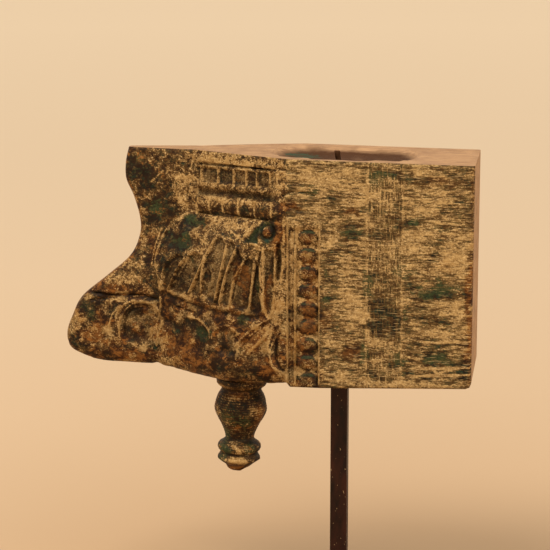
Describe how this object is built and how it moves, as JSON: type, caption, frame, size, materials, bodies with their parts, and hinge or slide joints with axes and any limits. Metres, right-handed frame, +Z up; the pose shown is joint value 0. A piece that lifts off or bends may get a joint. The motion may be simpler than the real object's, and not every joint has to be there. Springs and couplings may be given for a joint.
{
  "type": "carved wooden bracket",
  "caption": "Carved and painted wooden bracket: a plain beam end, a swelling bell of hanging petals, a thin cyma nose and a turned pendant, held up on a square rod in a plate foot.",
  "frame": {"origin": "centre of the foot plate's underside, on the rod's axis", "axes": "+X from the carved nose to the plain beam end, +Y from the face the picture shows to the hidden one, +Z up the rod"},
  "size_m": [0.3946, 0.2, 0.455],
  "materials": {
    "painted_wood": "hardwood with worn cream and dark green paint, scratched along the grain, bare on the sawn top, the end and the arrises",
    "painted_turning": "turned hardwood with dark green and brown paint, rubbed to bare wood on the rings",
    "blackened_steel": "blackened mild steel bar and plate, low sheen, a few chips on the rod"
  },
  "bodies": {
    "root": {"carved_block": "painted_wood", "pendant_finial": "painted_turning", "stand_rod": "blackened_steel", "foot_plate": "blackened_steel"}
  },
  "joints": []
}
